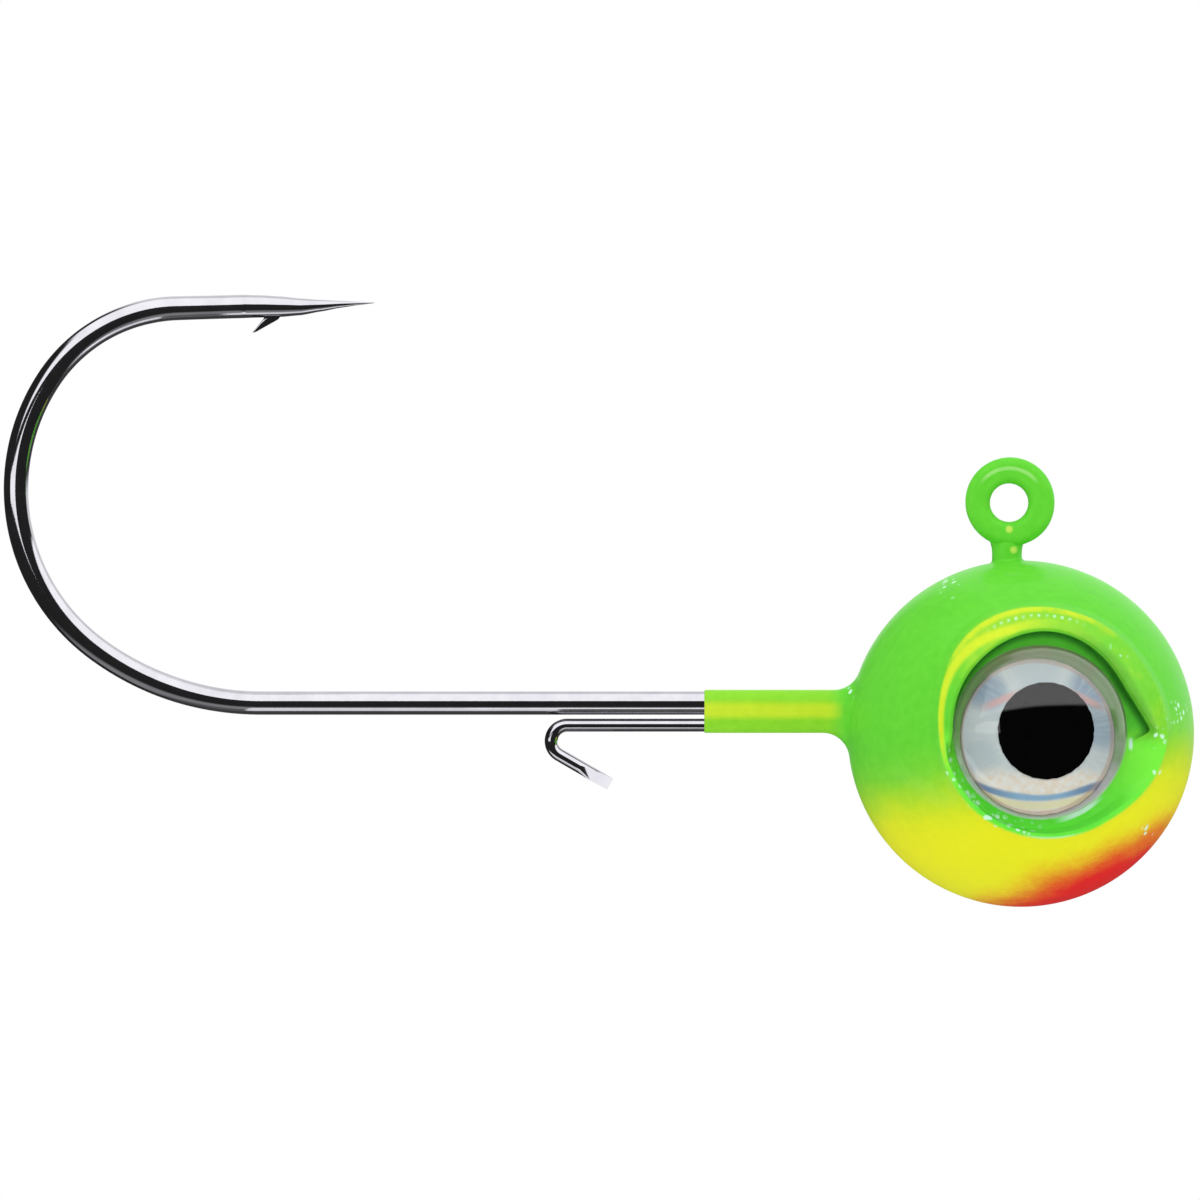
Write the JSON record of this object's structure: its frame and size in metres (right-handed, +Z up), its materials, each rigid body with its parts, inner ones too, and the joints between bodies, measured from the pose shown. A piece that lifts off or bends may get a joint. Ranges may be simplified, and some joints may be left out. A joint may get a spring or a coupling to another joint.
{
  "type": "jig head",
  "caption": "Ball jig head with a moulded-in long-shank hook, a bait keeper wire, a painted line-tie ring and a domed eye in a lidded socket on each side.",
  "frame": {"origin": "centre of the hole in the line-tie ring, on the mid-plane", "axes": "+X along the hook shank towards the nose, +Y out of the lure's left side along the line-tie hole, +Z up from the ball to the ring"},
  "size_m": [0.0423, 0.0136, 0.0217],
  "materials": {
    "black_nickel": "bright black-nickel plate on carbon steel",
    "lead_alloy": "as-cast lead alloy",
    "fade_paint": "glossy fluorescent green fading through yellow to red",
    "eye_glue": "clear-grey glue",
    "eye_foil": "holographic silver foil",
    "eye_ink": "printed black",
    "eye_resin": "clear polished resin"
  },
  "bodies": {
    "root": {"hook": "black_nickel", "keeper_wire": "black_nickel", "head_casting": "lead_alloy", "paint_coat": "fade_paint", "left_eye_adhesive": "eye_glue", "right_eye_adhesive": "eye_glue", "left_eye_foil": "eye_foil", "right_eye_foil": "eye_foil", "left_eye_pupil": "eye_ink", "right_eye_pupil": "eye_ink", "left_eye_dome": "eye_resin", "right_eye_dome": "eye_resin"}
  },
  "joints": []
}
